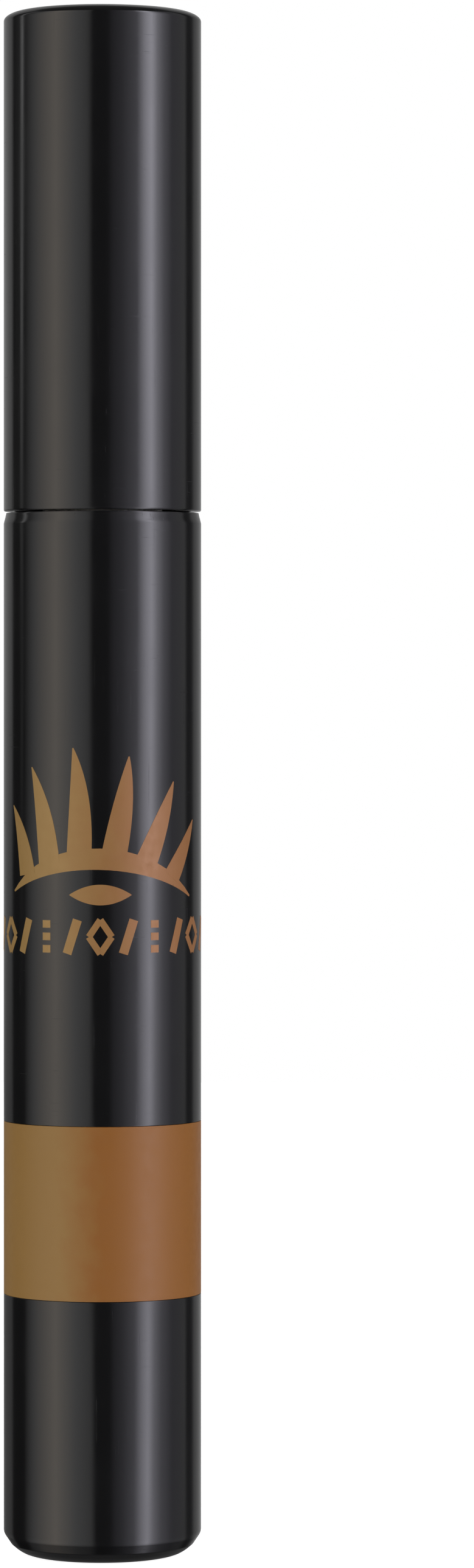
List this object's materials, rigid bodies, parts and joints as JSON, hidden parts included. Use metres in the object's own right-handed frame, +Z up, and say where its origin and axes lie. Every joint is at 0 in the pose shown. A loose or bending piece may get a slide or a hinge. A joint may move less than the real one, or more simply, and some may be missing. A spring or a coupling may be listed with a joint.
{
  "type": "mascara tube",
  "caption": "Slim round mascara tube with a screw-on cap; the cap carries a rod and a twisted-wire brush that is wiped as it leaves the neck.",
  "frame": {"origin": "centre of the flat base of the tube", "axes": "+Z up along the tube's axis towards the cap; -Y faces the viewer (the printed side)"},
  "size_m": [0.0164, 0.0164, 0.1288],
  "materials": {
    "gloss_black": "moulded gloss black",
    "satin_black": "moulded satin black",
    "brown_band": "satin brown sleeve",
    "milky_plastic": "natural moulded plastic",
    "soft_plastic": "soft natural plastic",
    "brown_paste": "thick wet paste",
    "seal_rubber": "soft grey rubber",
    "steel_wire": "drawn steel wire",
    "coated_bristles": "nylon bristles coated in paste"
  },
  "bodies": {
    "tube": {"outer_case": "gloss_black", "colour_band": "brown_band", "inner_bottle": "milky_plastic", "wiper": "soft_plastic", "mascara_fill": "brown_paste"},
    "seal": {"seal_ring": "seal_rubber"},
    "stem": {"rod": "satin_black"},
    "cap": {"cap_shell": "gloss_black", "inner_cap": "satin_black", "brush_wire": "steel_wire", "bristles": "coated_bristles"}
  },
  "joints": [
    {"name": "applicator_pull", "type": "slide", "parent": "tube", "child": "seal", "axis": [0, 0, 1], "range_m": [0, 0.092], "deforming": ["bristles"]},
    {"name": "thread_rise", "type": "slide", "parent": "seal", "child": "stem", "axis": [0, 0, 1], "range_m": [0, 0.003]},
    {"name": "cap_unscrew", "type": "hinge", "parent": "stem", "child": "cap", "pos_m": [0, 0, 0.1], "axis": [0, 0, 1], "range_deg": [0, 540]}
  ],
  "couplings": [
    {"joint": "thread_rise", "follows": "cap_unscrew", "m_per_rad": 0.0003183}
  ]
}
